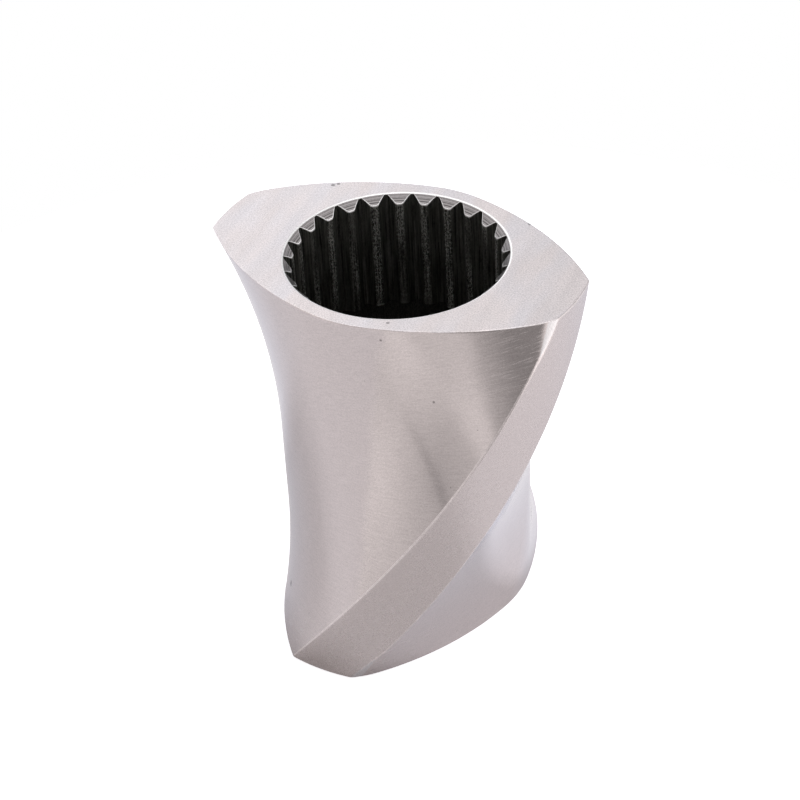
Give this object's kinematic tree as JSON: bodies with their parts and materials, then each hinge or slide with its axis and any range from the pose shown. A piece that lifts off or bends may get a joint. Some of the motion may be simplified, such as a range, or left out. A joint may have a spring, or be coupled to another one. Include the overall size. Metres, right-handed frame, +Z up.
{
  "type": "extruder screw element",
  "caption": "Helical self-wiping conveying element for a co-rotating screw extruder, with a splined through bore that slides onto the screw shaft.",
  "frame": {"origin": "centre of the bottom end face, on the bore axis", "axes": "+Z up along the bore axis; at the top face the flight tips lie along +X and -X, at the bottom face along +Y and -Y"},
  "size_m": [0.0712, 0.0712, 0.072],
  "materials": {
    "steel": "ground and satin-polished tool steel, dry; end faces fine ground, bore spline left as cut"
  },
  "bodies": {
    "root": {"screw_element": "steel"}
  },
  "joints": []
}
